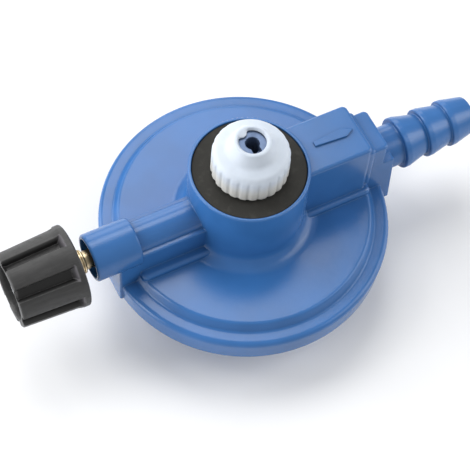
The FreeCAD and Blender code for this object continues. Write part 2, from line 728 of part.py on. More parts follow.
def make_knob_screw():
    """Pan-head cross-slotted screw that holds the knob on the spindle."""
    head_x = KNOB_OUTER_X + 3.2
    screw = turned_x([
        (head_x - 1.9, 0, 0),
        (head_x - 1.9, 2.7, 1.0),
        (head_x, 2.7, 0),
        (head_x, 1.24, 0),
        (-60.5, 1.24, 0.3),
        (-60.5, 0, 0),
    ], TAP_Z)
    slots = [Part.makeBox(1.2, 3.2, 0.7, V(head_x - 2.2, -1.6, TAP_Z - 0.35)),
             Part.makeBox(1.2, 0.7, 3.2, V(head_x - 2.2, -0.35, TAP_Z - 1.6))]
    return screw.cut(slots)


# Write every piece ------------------------------------------------------------------------
PIECES = {
    "body": make_body,
    "cover": make_cover,
    "diaphragm": make_diaphragm,
    "diaphragm_plate": make_diaphragm_plate,
    "diaphragm_stem": make_diaphragm_stem,
    "stem_nut": make_stem_nut,
    "main_spring": make_main_spring,
    "adjusting_plug": make_adjusting_plug,
    "seal_plug": make_seal_plug,
    "lever": make_lever,
    "lever_pin": make_lever_pin,
    "valve_pad": make_valve_pad,
    "jet": make_jet,
    "inlet_gasket": make_inlet_gasket,
    "inlet_filter": make_inlet_filter,
    "inlet_probe": make_inlet_probe,
    "inlet_cap": make_inlet_cap,
    "tap_pad": make_tap_pad,
    "tap_spindle": make_tap_spindle,
    "tap_gland": make_tap_gland,
    "tap_oring": make_tap_oring,
    "tap_knob": make_tap_knob,
    "knob_screw": make_knob_screw,
}

os.makedirs("parts", exist_ok=True)
for name, make in PIECES.items():
    shape = make()
    solids = shape.Solids
    print(name, "solids", len(solids), "valid", shape.isValid(), "volume", round(shape.Volume, 1))
    part = solids[0] if len(solids) == 1 else Part.makeCompound(solids)
    part.exportStep(os.path.join("parts", name + ".step"))
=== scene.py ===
"""Looks of a small camping gas regulator: paint, plastic, rubber and brass around its fixed frame."""

import json
import math

import bpy
import numpy as np
from mathutils import Matrix, Vector


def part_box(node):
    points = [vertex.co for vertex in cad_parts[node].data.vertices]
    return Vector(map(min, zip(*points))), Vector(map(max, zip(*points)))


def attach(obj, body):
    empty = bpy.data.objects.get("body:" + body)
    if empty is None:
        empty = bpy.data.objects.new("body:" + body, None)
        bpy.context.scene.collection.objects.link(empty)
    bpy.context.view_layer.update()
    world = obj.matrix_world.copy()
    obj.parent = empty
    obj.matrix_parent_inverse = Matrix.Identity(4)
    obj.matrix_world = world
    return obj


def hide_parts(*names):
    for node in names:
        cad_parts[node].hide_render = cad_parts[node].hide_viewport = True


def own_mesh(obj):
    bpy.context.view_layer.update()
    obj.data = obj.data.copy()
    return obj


bl_info = {
    "name": "Gas regulator looks",
    "version": (1, 0, 0),
    "blender": (4, 5, 0),
    "location": "3D View > Sidebar > Regulator",
    "description": "Builds the finished surfaces and materials of a gas regulator around its packed parts",
    "category": "Object",
}

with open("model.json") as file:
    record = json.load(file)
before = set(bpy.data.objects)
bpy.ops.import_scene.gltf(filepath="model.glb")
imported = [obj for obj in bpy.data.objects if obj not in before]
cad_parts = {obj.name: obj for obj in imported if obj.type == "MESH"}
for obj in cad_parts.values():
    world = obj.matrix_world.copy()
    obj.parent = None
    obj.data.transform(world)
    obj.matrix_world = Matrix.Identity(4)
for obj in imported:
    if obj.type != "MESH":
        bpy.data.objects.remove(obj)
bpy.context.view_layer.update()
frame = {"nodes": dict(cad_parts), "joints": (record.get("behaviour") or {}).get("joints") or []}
NODES = frame["nodes"]
MM = 0.001


def joint_point(name):
    """Place of a hinge joint in the record, as a vector in metres."""
    return Vector(next(j["pos_m"] for j in frame["joints"] if j["name"] == name))


# Mesh building ----------------------------------------------------------------------------
def rounded_profile(corners, arc_points=7):
    """Open outline through corners (a, b, radius), each rounded by points on an arc tangent to its two runs."""
    spots = np.array([c[:2] for c in corners], float)
    pieces = []
    for i, (a, b, radius) in enumerate(corners):
        if radius == 0 or i in (0, len(corners) - 1):
            pieces.append(spots[i:i + 1])
            continue
        back = spots[i - 1] - spots[i]
        ahead = spots[i + 1] - spots[i]
        back = back / np.linalg.norm(back)
        ahead = ahead / np.linalg.norm(ahead)
        half = np.arccos(np.clip(back @ ahead, -1, 1)) / 2
        middle = (back + ahead) / np.linalg.norm(back + ahead)
        centre = spots[i] + middle * radius / np.sin(half)
        start = spots[i] + back * radius / np.tan(half) - centre
        end = spots[i] + ahead * radius / np.tan(half) - centre
        turn = np.arctan2(start[0] * end[1] - start[1] * end[0], start @ end)
        angles = np.linspace(0, turn, arc_points)[:, None]
        side = np.array([-start[1], start[0]])
        pieces.append(centre + np.cos(angles) * start + np.sin(angles) * side)
    return np.concatenate(pieces)


def densified(profile, spacing):
    """The same outline with extra points, so that no two neighbours are further apart than spacing."""
    steps = np.linalg.norm(np.diff(profile, axis=0), axis=1)
    along = np.concatenate([[0], np.cumsum(steps)])
    extra = np.linspace(0, along[-1], int(along[-1] / spacing) + 2)
    every = np.unique(np.round(np.concatenate([along, extra]), 9))
    keep = np.concatenate([[True], np.diff(every) > spacing * 0.2])
    every = every[keep]
    return np.stack([np.interp(every, along, profile[:, k]) for k in (0, 1)], axis=1)


def smoothstep(low, high, value):
    """0 below low, 1 above high, and 3t^2 - 2t^3 between them."""
    t = np.clip((value - low) / (high - low), 0, 1)
    return t * t * (3 - 2 * t)


def volume_sign(points, faces):
    """Sign of the volume inside the faces: the sum of the origin's triple products with fan triangles."""
    corner = points[faces[:, 0]]
    total = 0.0
    for k in range(1, faces.shape[1] - 1):
        total += np.einsum("ij,ij->i", corner, np.cross(points[faces[:, k]], points[faces[:, k + 1]])).sum()
    return math.copysign(1, total)


def add_mesh(name, points, quads, triangles=None):
    """Mesh object at the origin from arrays, turned outwards by the sign of its volume, shaded smooth."""
    groups = [g for g in (quads, triangles) if g is not None and len(g)]
    flip = sum(volume_sign(points, g) * len(g) for g in groups) < 0
    groups = [g[:, ::-1] if flip else g for g in groups]
    mesh = bpy.data.meshes.new(name)
    loops = np.concatenate([g.ravel() for g in groups]).astype(np.int32)
    sizes = np.concatenate([np.full(len(g), g.shape[1]) for g in groups]).astype(np.int32)
    mesh.vertices.add(len(points))
    mesh.vertices.foreach_set("co", points.astype(np.float32).ravel())
    mesh.loops.add(len(loops))
    mesh.loops.foreach_set("vertex_index", loops)
    mesh.polygons.add(len(sizes))
    mesh.polygons.foreach_set("loop_start", (np.cumsum(sizes) - sizes).astype(np.int32))
    mesh.polygons.foreach_set("loop_total", sizes)
    mesh.polygons.foreach_set("use_smooth", np.ones(len(sizes), bool))
    mesh.update(calc_edges=True)
    mesh.validate()
    mesh.set_sharp_from_angle(angle=math.radians(50))
    piece = bpy.data.objects.new(name, mesh)
    bpy.context.scene.collection.objects.link(piece)
    return piece


def ring_quads(n_u, n_v, closed_u, closed_v):
    """Quads of an n_u by n_v grid of points, joined round where a direction is closed."""
    u = np.arange(n_u if closed_u else n_u - 1)
    v = np.arange(n_v if closed_v else n_v - 1)
    i, j = np.meshgrid(u, v, indexing="ij")
    k = (i + 1) % n_u
    m = (j + 1) % n_v
    return np.stack([i * n_v + j, k * n_v + j, k * n_v + m, i * n_v + m], axis=-1).reshape(-1, 4)


def lathe(name, surface, around=192):
    """Closed ring surface: surface(turn) gives radius and height arrays for every outline point at each
    turn angle, and a point lies at (radius cos turn, radius sin turn, height)."""
    turn = np.linspace(0, 2 * math.pi, around, endpoint=False)[:, None]
    radius, height = surface(turn)
    grid = np.stack([radius * np.cos(turn), radius * np.sin(turn), height + 0 * turn], axis=-1)
    n_u, n_v = grid.shape[:2]
    return add_mesh(name, grid.reshape(-1, 3), ring_quads(n_u, n_v, True, True))


def lay_along_x(piece, axis_z):
    """Turns a lathed mesh so that its axis of turning lies along +X at the height axis_z."""
    turned = Matrix(((0, 0, 1, 0), (0, 1, 0, 0), (-1, 0, 0, axis_z), (0, 0, 0, 1)))
    piece.data.transform(turned)
    piece.data.update()


def tube(name, path, out, radius, around=16):
    """Round tube along path: each ring is path + radius (cos a out + sin a side), side being tangent cross
    out, and both ends are closed by a fan about a middle point."""
    tangent = np.gradient(path, axis=0)
    tangent /= np.linalg.norm(tangent, axis=1, keepdims=True)
    side = np.cross(tangent, out)
    side /= np.linalg.norm(side, axis=1, keepdims=True)
    a = np.linspace(0, 2 * math.pi, around, endpoint=False)[None, :, None]
    rings = path[:, None] + radius * (np.cos(a) * out[:, None] + np.sin(a) * side[:, None])
    points = np.concatenate([rings.reshape(-1, 3), path[:1], path[-1:]])
    n = len(path)
    j = np.arange(around)
    following = (j + 1) % around
    first = np.stack([j, following, np.full(around, n * around)], axis=-1)
    last_ring = (n - 1) * around
    last = np.stack([last_ring + following, last_ring + j, np.full(around, n * around + 1)], axis=-1)
    quads = ring_quads(n, around, False, True)
    return add_mesh(name, points, quads, np.concatenate([first, last])[:, ::-1])


# Shader building --------------------------------------------------------------------------
class Value:
    """A shader socket that takes part in Python arithmetic by adding Math nodes."""

    def __init__(self, shader, socket):
        self.shader = shader
        self.socket = socket

    def _math(self, operation, first, second, clamp=False):
        settings = {"operation": operation, "use_clamp": clamp}
        return self.shader.node("ShaderNodeMath", settings, {0: first, 1: second})

    def __add__(self, other):
        return self._math("ADD", self, other)

    __radd__ = __add__

    def __sub__(self, other):
        return self._math("SUBTRACT", self, other)

    def __rsub__(self, other):
        return self._math("SUBTRACT", other, self)

    def __mul__(self, other):
        return self._math("MULTIPLY", self, other)

    __rmul__ = __mul__

    def clamped(self):
        return self._math("ADD", self, 0.0, True)


class Shader:
    """One material with a Principled shader, and short words for the nodes that feed it."""

    def __init__(self, name):
        self.material = bpy.data.materials.new(name)
        self.material.use_nodes = True
        self.tree = self.material.node_tree
        self.tree.nodes.clear()
        self.surface = self.tree.nodes.new("ShaderNodeBsdfPrincipled")
        output = self.tree.nodes.new("ShaderNodeOutputMaterial")
        self.tree.links.new(self.surface.outputs[0], output.inputs["Surface"])

    def connect(self, socket, value):
        if isinstance(value, Value):
            self.tree.links.new(value.socket, socket)
        else:
            socket.default_value = value

    def node(self, kind, settings=None, inputs=None, output=0):
        """Adds a node: its settings first, then the values or links of its sockets."""
        made = self.tree.nodes.new(kind)
        for key, value in (settings or {}).items():
            if key == "stops":
                ramp = made.color_ramp
                for index, (place, grey) in enumerate(value):
                    stop = ramp.elements[index] if index < 2 else ramp.elements.new(place)
                    stop.position = place
                    stop.color = (grey, grey, grey, 1)
            else:
                setattr(made, key, value)
        for key, value in (inputs or {}).items():
            self.connect(made.inputs[key], value)
        return Value(self, made.outputs[output])

    def set(self, **values):
        """Sets or links sockets of the Principled shader; underscores stand for spaces."""
        for key, value in values.items():
            self.connect(self.surface.inputs[key.replace("_", " ")], value)

    def place(self):
        """Object coordinates, in metres."""
        return self.node("ShaderNodeTexCoord", output="Object")

    def noise(self, size, detail=3.0, roughness=0.55, vector=None):
        """Noise from 0 to 1 whose blotches are about size metres across."""
        where = vector or self.place()
        inputs = {"Vector": where, "Scale": 1 / size, "Detail": detail, "Roughness": roughness}
        return self.node("ShaderNodeTexNoise", {}, inputs)

    def stretched(self, scale):
        """Object coordinates times a factor on each axis."""
        return self.node("ShaderNodeMapping", {}, {"Vector": self.place(), "Scale": scale})

    def ramp(self, value, low, high):
        """0 below low, 1 above high, smooth between."""
        settings = {"interpolation_type": "SMOOTHSTEP"}
        inputs = {"Value": value, "From Min": low, "From Max": high}
        return self.node("ShaderNodeMapRange", settings, inputs)

    def mix(self, share, first, second):
        """Colour between first and second."""
        return self.node("ShaderNodeMix", {"data_type": "RGBA"}, {0: share, 6: first, 7: second}, output=2)

    def edge(self, radius):
        """About 0 on flat stretches and up to 1 on edges sharper than radius, as 1 minus the dot product of
        the bevelled and the plain normal, scaled up; and the bevelled normal itself."""
        soft = self.node("ShaderNodeBevel", {"samples": 6}, {"Radius": radius})
        plain = self.node("ShaderNodeNewGeometry", output="Normal")
        product = {"operation": "DOT_PRODUCT"}
        facing = self.node("ShaderNodeVectorMath", product, {0: soft, 1: plain}, output="Value")
        return ((1 - facing) * 6).clamped(), soft

    def crevice(self, distance):
        """1 in tight corners and 0 in the open, from ambient occlusion."""
        samples = {"samples": 6}
        open_share = self.node("ShaderNodeAmbientOcclusion", samples, {"Distance": distance}, output="AO")
        return (1 - open_share).clamped()

    def bump(self, height, depth, normal=None):
        """Bump of depth metres; normal carries an earlier bump or bevel."""
        inputs = {"Height": height, "Distance": depth, "Strength": 1.0}
        if normal is not None:
            inputs["Normal"] = normal
        return self.node("ShaderNodeBump", {}, inputs)


def colour(values):
    """RGB from a colour property, with alpha 1."""
    return (*values[:3], 1.0)


def shade(values, factor):
    """The same colour made darker or lighter."""
    return tuple(min(1.0, v * factor) for v in values[:3]) + (1.0,)


def dress(piece, material):
    """Gives every face of a piece the one material."""
    piece.data.materials.clear()
    piece.data.materials.append(material)


# Settings ---------------------------------------------------------------------------------
def colour_setting(label, text, default):
    return bpy.props.FloatVectorProperty(name=label, description=text, default=default, subtype="COLOR",
                                         size=3, min=0, max=1)


def length_setting(label, text, default):
    return bpy.props.FloatProperty(name=label, description=text, default=default, unit="LENGTH",
                                   subtype="DISTANCE", min=0, precision=5)


def angle_setting(label, text, degrees):
    return bpy.props.FloatProperty(name=label, description=text, default=math.radians(degrees),
                                   subtype="ANGLE")


class FinishSettings(bpy.types.PropertyGroup):
    """Colours and grain of the materials."""

    paint: colour_setting("Paint", "Blue enamel on the casting and cover", (0.034, 0.138, 0.375))
    rubber: colour_setting("Rubber", "Sealing ring and other rubber", (0.026, 0.025, 0.022))
    cap: colour_setting("Cap", "Polyethylene of the protective cap", (0.58, 0.64, 0.72))
    cap_skirt: colour_setting("Cap skirt", "The same where the stud shows through", (0.60, 0.59, 0.55))
    knob: colour_setting("Knob", "Moulded plastic of the tap's knob", (0.028, 0.028, 0.028))
    # Colour of the painted reflection on the scoops at the flutes' inner ends
    knob_scoop_highlight: colour_setting("Worn knob", "The same where flutes' ends are rubbed pale", (0.16, 0.15, 0.17))
    brass: colour_setting("Brass", "Turned brass", (0.84, 0.68, 0.44))
    steel: colour_setting("Steel", "Plated steel", (0.56, 0.58, 0.61))
    zinc: colour_setting("Nose", "Dull plated nose of the inlet", (0.15, 0.21, 0.34))
    paint_grain: length_setting("Paint grain", "Size of the ripples in the enamel", 1.6 * MM)
    paint_round: length_setting("Paint rounding", "Radius that the enamel rounds edges to", 0.45 * MM)


class CapSettings(bpy.types.PropertyGroup):
    """Shape of the protective cap."""

    ribs: bpy.props.IntProperty(name="Ribs", description="Grip ribs round the skirt", default=24, min=3)
    rib_height: length_setting("Rib height", "How far the ribs stand out of the skirt", 0.32 * MM)
    wall_radius: length_setting("Skirt radius", "Radius of the skirt between ribs", 10.65 * MM)
    bore_radius: length_setting("Bore", "Radius of the bore over the stud", 8.2 * MM)
    hole_radius: length_setting("Hole", "Radius of the hole in the collar", 3.85 * MM)
    collar_radius: length_setting("Collar", "Radius of the raised collar", 5.1 * MM)
    lug_turn: angle_setting("Lug angle", "Turn of the lug in the hole", 112)
    lug_half: angle_setting("Lug half width", "Half the angle that the lug fills", 20.63)
    lug_depth: length_setting("Lug depth", "How far the lug stands into the hole", 1.15 * MM)


class KnobSettings(bpy.types.PropertyGroup):
    """Shape of the tap's knob."""

    flutes: bpy.props.IntProperty(name="Flutes", description="Grip flutes round the knob", default=7, min=2)
    flute_width: length_setting("Flute width", "Width of a flute across the knob", 3.8 * MM)
    flute_depth: length_setting("Flute depth", "Depth of a flute", 2.0 * MM)
    flute_turn: angle_setting("Flute angle", "Turn of the first flute from the top", 14)
    tip_radius: length_setting("Tip radius", "Radius of the fluted body at its outer end", 10.8 * MM)
    body_radius: length_setting("Body radius", "Radius of the fluted body next to the ring", 11.6 * MM)
    ring_radius: length_setting("Ring radius", "Radius of the plain ring at the inner end", 12.0 * MM)
    recess_radius: length_setting("Recess radius", "Radius of the recess in the outer face", 8.3 * MM)


class StageSettings(bpy.types.PropertyGroup):
    """Floor, lights and camera."""

    floor: colour_setting("Floor", "Pale floor", (0.86, 0.865, 0.875))
    azimuth: angle_setting("Azimuth", "Camera's turn round the part", -32.8)
    elevation: angle_setting("Elevation", "Camera's height above the horizon", 58.5)
    roll: angle_setting("Roll", "Camera's roll", 6.66)
    pan: angle_setting("Pan", "Turn to the side from the part's axis", -0.233)
    tilt: angle_setting("Tilt", "Turn up from the part's axis", -1.514)
    distance: length_setting("Distance", "Camera's distance from the point it circles", 471.4 * MM)
    target_height: length_setting("Target height", "Height of the point that the camera circles", 32.7 * MM)
    lens: bpy.props.FloatProperty(name="Lens", description="Focal length in millimetres", default=126.86,
                                  min=1)
    room_light: bpy.props.FloatProperty(name="Room light", description="Strength of the even light all round",
                                        default=0.46, min=0)
    lamp_distance: length_setting("Lamp distance", "Distance of the softboxes from what they aim at", 0.9)
    lamp_aim: length_setting("Lamp aim", "Height of the point that the softboxes aim at", 0.03)


# Materials --------------------------------------------------------------------------------
def paint_material(s):
    """Thick glossy enamel: rounded edges, slight ripple, paler edges from thin paint and a painted highlight,
    painted shade in corners, dust specks.
    """
    m = Shader("blue_enamel")
    edge, soft = m.edge(s.paint_round)
    corner = m.crevice(3 * MM)
    cloud = m.noise(14 * MM, detail=2)
    speck = m.ramp(m.noise(0.5 * MM, detail=1), 0.70, 0.78)
    body = m.mix(m.ramp(cloud, 0.3, 0.7), shade(s.paint, 0.93), shade(s.paint, 1.07))
    # painted shade: much darker enamel in corners, from ambient occlusion
    body = m.mix(corner * 0.6, body, shade(s.paint, 0.35))
    # paler edges: partly thinner enamel, partly a painted highlight along every edge
    body = m.mix(edge * 0.25, body, shade(s.paint, 1.6))
    body = m.mix(speck * 0.08, body, shade(s.paint, 1.8))
    ripple = m.noise(s.paint_grain, detail=2)
    fine = m.noise(s.paint_grain / 6, detail=2)
    normal = m.bump(ripple * 0.8 + fine * 0.2, 0.03 * MM, soft)
    m.set(Base_Color=body, Roughness=(0.19 + cloud * 0.08 - edge * 0.03), Normal=normal)
    m.set(Specular_IOR_Level=0.48)
    return m.material


def rubber_material(s, name="seal_rubber"):
    """Matt nitrile rubber with a fine tooth, a little pale dust, a painted highlight on edges and painted shade
    in corners.
    """
    m = Shader(name)
    dust = m.ramp(m.noise(2.5 * MM, detail=4), 0.5, 0.75)
    tooth = m.noise(0.25 * MM, detail=2)
    edge, soft = m.edge(0.2 * MM)
    body = m.mix(dust * 0.35, colour(s.rubber), shade(s.rubber, 2.4))
    # painted highlight: paler rubber along every edge
    body = m.mix(edge * 0.3, body, shade(s.rubber, 2.2))
    # painted shade: darker rubber in corners, from ambient occlusion
    body = m.mix(m.crevice(1.5 * MM) * 0.7, body, shade(s.rubber, 0.3))
    m.set(Base_Color=body, Roughness=0.68 + tooth * 0.2, Normal=m.bump(tooth, 0.03 * MM, soft))
    m.set(Specular_IOR_Level=0.35)
    return m.material


def cap_material(s):
    """Soft, slightly translucent polyethylene: waxy sheen, flow marks, warmer skirt, painted shade in grooves.
    """
    m = Shader("cap_polyethylene")
    flow = m.noise(5 * MM, detail=3)
    drawn = m.noise(1.3 * MM, detail=3, vector=m.stretched((1, 1, 0.15)))
    fine = m.noise(0.6 * MM, detail=2)
    corner = m.crevice(1.2 * MM)
    height = m.node("ShaderNodeSeparateXYZ", {}, {0: m.place()}, output="Z")
    skirt_top, skirt_foot = 53.5 * MM, 48.0 * MM
    skirt = m.ramp(height, skirt_top, skirt_foot)
    body = m.mix(m.ramp(flow, 0.35, 0.7), shade(s.cap, 0.95), colour(s.cap))
    body = m.mix(skirt * 0.85, body, colour(s.cap_skirt))
    body = m.mix(skirt * m.ramp(drawn, 0.5, 0.75) * 0.3, body, shade(s.cap_skirt, 0.72))
    # painted shade: greyer plastic in grooves, from ambient occlusion
    body = m.mix(corner * 0.5, body, shade(s.cap, 0.6))
    m.set(Base_Color=body, Roughness=0.40 + flow * 0.14, Normal=m.bump(flow * 0.7 + fine * 0.3, 0.05 * MM))
    m.set(Subsurface_Weight=0.3, Subsurface_Radius=(1.0, 1.0, 1.0), Subsurface_Scale=1.0 * MM)
    m.set(Specular_IOR_Level=0.4)
    return m.material


def knob_material(s):
    """Black moulded plastic: spark-textured lands with drawn streaks; smoother flutes with painted shade in
    them and a painted reflection on their inner ends; edges paler by scuffs and a painted highlight."""
    m = Shader("knob_plastic")
    edge, soft = m.edge(0.3 * MM)
    flute = m.node("ShaderNodeAttribute", {"attribute_name": "flute"}, output="Fac")
    scuff = m.ramp(m.noise(1.6 * MM, detail=5), 0.45, 0.7)
    spark = m.noise(0.22 * MM, detail=2)
    streak = m.noise(1.0 * MM, detail=3, vector=m.stretched((0.12, 1, 1)))
    land = m.mix(m.ramp(streak, 0.35, 0.75) * 0.6, colour(s.knob), shade(s.knob, 1.7))
    scoop_highlight = m.node("ShaderNodeAttribute", {"attribute_name": "scoop_highlight"}, output="Fac")
    # painted shade: flute floors darkened to stand for the shade between the flute walls
    body = m.mix(flute, land, shade(s.knob, 0.3))
    # painted reflection: pale colour on the scoops at the flutes' inner ends
    body = m.mix(scoop_highlight * 0.8, body, colour(s.knob_scoop_highlight))
    # paler edges: scuffs where the noise is high, and a painted highlight along every edge
    body = m.mix(edge * (0.25 + scuff * 0.4), body, shade(s.knob, 4.5))
    m.set(Base_Color=body, Roughness=0.42 + scuff * 0.14 - flute * 0.12)
    m.set(Normal=m.bump(spark * (1 - flute * 0.7), 0.03 * MM, soft), Specular_IOR_Level=0.5)
    return m.material


def turned_metal(name, base, roughness, metallic=1.0, axis_scale=(9, 1, 1), shade_from_x=None):
    """Metal turned on a lathe: rings across the axis, a little tarnish, a painted highlight on edges, painted
    shade in corners, and painted shade from a given X onwards, where the piece sits in the stub's recess."""
    m = Shader(name)
    edge, soft = m.edge(0.15 * MM)
    rings = m.noise(0.6 * MM, detail=2, vector=m.stretched(axis_scale))
    tarnish = m.ramp(m.noise(3 * MM, detail=4), 0.45, 0.75)
    corner = m.crevice(0.8 * MM)
    body = m.mix(tarnish * 0.4, colour(base), shade(base, 0.62))
    # painted shade: darker metal in corners, from ambient occlusion
    body = m.mix(corner * 0.6, body, shade(base, 0.3))
    # painted highlight: paler metal along every edge
    body = m.mix(edge * 0.4, body, shade(base, 1.35))
    # painted shade: the metal turns almost black past the given X, where the spindle sits in the stub's
    # shadowed recess
    if shade_from_x is not None:
        along = m.node("ShaderNodeSeparateXYZ", {}, {0: m.place()}, output="X")
        inside = m.ramp(along, shade_from_x - 0.8 * MM, shade_from_x + 0.8 * MM)
        body = m.mix(inside * 0.85, body, shade(base, 0.12))
    m.set(Base_Color=body, Roughness=roughness + tarnish * 0.15 + rings * 0.06)
    m.set(Normal=m.bump(rings, 0.012 * MM, soft), Metallic=metallic)
    return m.material


def floor_material(s):
    """White table laminate with a faint mottle."""
    m = Shader("white_table")
    mottle = m.noise(30 * MM, detail=3)
    fine = m.noise(0.8 * MM, detail=2)
    body = m.mix(m.ramp(mottle, 0.3, 0.7), shade(s.floor, 0.985), colour(s.floor))
    m.set(Base_Color=body, Roughness=0.42 + mottle * 0.1, Normal=m.bump(fine, 0.01 * MM))
    m.set(Specular_IOR_Level=0.35)
    return m.material


# Operators --------------------------------------------------------------------------------
class BuildOperator(bpy.types.Operator):
    """Common base of the build steps."""

    bl_options = {"REGISTER", "UNDO"}

    def finish_settings(self, context):
        return context.scene.regulator_finish


class REGULATOR_OT_paint_casting(BuildOperator):
    """Gives the die-cast body and the pressed cover their blue enamel."""

    bl_idname = "regulator.paint_casting"
    bl_label = "Paint body and cover"

    def execute(self, context):
        enamel = paint_material(self.finish_settings(context))
        for name in ("body", "cover"):
            dress(NODES[name], enamel)
        return {"FINISHED"}


class REGULATOR_OT_finish_metal(BuildOperator):
    """Gives the brass, steel and plated pieces their turned metal."""

    bl_idname = "regulator.finish_metal"
    bl_label = "Finish metal pieces"

    def execute(self, context):
        s = self.finish_settings(context)
        across_x = (9, 1, 1)
        across_z = (1, 1, 9)
        # painted shade on the spindle starts this far past the knob's inner end, at the stub's recess
        unshaded_spindle = 3.6 * MM
        stub_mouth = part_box("tap_knob")[1].x + unshaded_spindle
        lying = turned_metal("brass_along_x", s.brass, 0.24, axis_scale=across_x, shade_from_x=stub_mouth)
        upright = turned_metal("brass_along_z", s.brass, 0.26, axis_scale=across_z)
        steel = turned_metal("plated_steel", s.steel, 0.3, axis_scale=across_z)
        dull = turned_metal("dull_plating", s.zinc, 0.42, metallic=0.6, axis_scale=across_z)
        finishes = [
            (lying, ("tap_spindle", "tap_gland")),
            (upright, ("diaphragm_stem", "adjusting_plug", "jet", "inlet_filter")),
            (steel, ("diaphragm_plate", "stem_nut", "lever", "lever_pin", "knob_screw")),
            (dull, ("inlet_probe",)),
        ]
        for material, names in finishes:
            for name in names:
                dress(NODES[name], material)
        return {"FINISHED"}


class REGULATOR_OT_finish_soft(BuildOperator):
    """Gives the inner rubber and plastic pieces their materials."""

    bl_idname = "regulator.finish_soft"
    bl_label = "Finish rubber and plastic pieces"

    def execute(self, context):
        s = self.finish_settings(context)
        rubber = rubber_material(s, "inner_rubber")
        for name in ("diaphragm", "valve_pad", "tap_pad", "tap_oring"):
            dress(NODES[name], rubber)
        dress(NODES["seal_plug"], knob_material(s))
        return {"FINISHED"}


class REGULATOR_OT_make_gasket(BuildOperator):
    """Builds the sealing ring in the boss: a flat ring with soft edges and a shallow groove round its top."""

    bl_idname = "regulator.make_gasket"
    bl_label = "Make sealing ring"

    def execute(self, context):
        low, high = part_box("inlet_gasket")
        outer = high.x
        inner = 8.15 * MM
        top = high.z
        round_in = 0.35 * MM
        seam = 0.1 * MM
        corners = [
            (inner, low.z, 0),
            (outer, low.z, 0),
            (outer, top, round_in),
            ((inner + outer) / 2, top, 0),
            (inner, top, round_in),
            (inner, low.z + seam, 0),
        ]
        outline = densified(rounded_profile(corners), 0.3 * MM)
        lip = 0.10 * MM

        def surface(turn):
            """Height falls by a shallow groove, lip deep, midway between the ring's two edges."""
            radius, height = outline[None, :, 0], outline[None, :, 1]
            share = np.clip((radius - inner) / (outer - inner), 0, 1)
            dip = lip * np.sin(np.pi * share) ** 2 * smoothstep(top - 0.3 * MM, top, height)
            return radius + 0 * turn, height - dip + 0 * turn

        ring = lathe("sealing_ring", surface)
        dress(ring, rubber_material(self.finish_settings(context)))
        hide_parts("inlet_gasket")
        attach(ring, "root")
        return {"FINISHED"}


class REGULATOR_OT_make_cap(BuildOperator):
    """Builds the protective cap: ribbed skirt, round shoulder, raised collar and a hole with a lug."""

    bl_idname = "regulator.make_cap"
    bl_label = "Make protective cap"

    def execute(self, context):
        s = context.scene.regulator_cap
        low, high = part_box("inlet_cap")
        probe_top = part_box("inlet_probe")[1].z
        wall, bore, hole = s.wall_radius, s.bore_radius, s.hole_radius
        shoulder = high.z - 4.8 * MM
        collar_foot, collar_foot_radius = high.z - 3.5 * MM, 7.1 * MM
        inner_top = probe_top - 3.2 * MM
        lid_under = probe_top + 0.3 * MM
        nose_room = 4.75 * MM
        seam_low, seam_high = low.z + 2 * MM, low.z + 2.4 * MM
        corners = [
            (bore, seam_low, 0),
            (bore, low.z, 0.25 * MM),
            (wall, low.z, 0.35 * MM),
            (wall, shoulder, 2.0 * MM),
            (collar_foot_radius, collar_foot, 2.2 * MM),
            (s.collar_radius, high.z, 0.7 * MM),
            (hole, high.z, 0.45 * MM),
            (hole, lid_under, 0.1 * MM),
            (nose_room, lid_under, 0),
            (nose_room, inner_top, 0),
            (bore, inner_top, 0.3 * MM),
            (bore, seam_high, 0),
        ]
        outline = densified(rounded_profile(corners, 9), 0.45 * MM)
        fade = 2.2 * MM
        pad_foot = 0.8 * MM

        def surface(turn):
            """Radius grows on the skirt by broad pads, one minus a raised cosine to the power 3, which fade
            out below the shoulder; in the hole it shrinks by a flat-topped bell about the lug's angle, e to
            the minus fourth power of the angle over its half width."""
            radius, height = outline[None, :, 0], outline[None, :, 1]
            outside = smoothstep(wall - 0.5 * MM, wall - 0.1 * MM, radius)
            below = smoothstep(shoulder, shoulder - fade, height)
            skirt = smoothstep(low.z, low.z + pad_foot, height) * below
            wave = 1 - (0.5 + 0.5 * np.cos(s.ribs * turn)) ** 3
            away = (turn - s.lug_turn + np.pi) % (2 * np.pi) - np.pi
            bell = np.exp(-((away / s.lug_half) ** 4))
            under_rim = smoothstep(high.z, high.z - 0.3 * MM, height) * (height > probe_top)
            in_hole = smoothstep(hole + 0.35 * MM, hole, radius) * under_rim
            pads = s.rib_height * wave * outside * skirt
            return radius + pads - s.lug_depth * bell * in_hole, height + 0 * turn

        cap = lathe("protective_cap", surface, around=s.ribs * 12)
        dress(cap, cap_material(self.finish_settings(context)))
        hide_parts("inlet_cap")
        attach(cap, "cap")
        return {"FINISHED"}


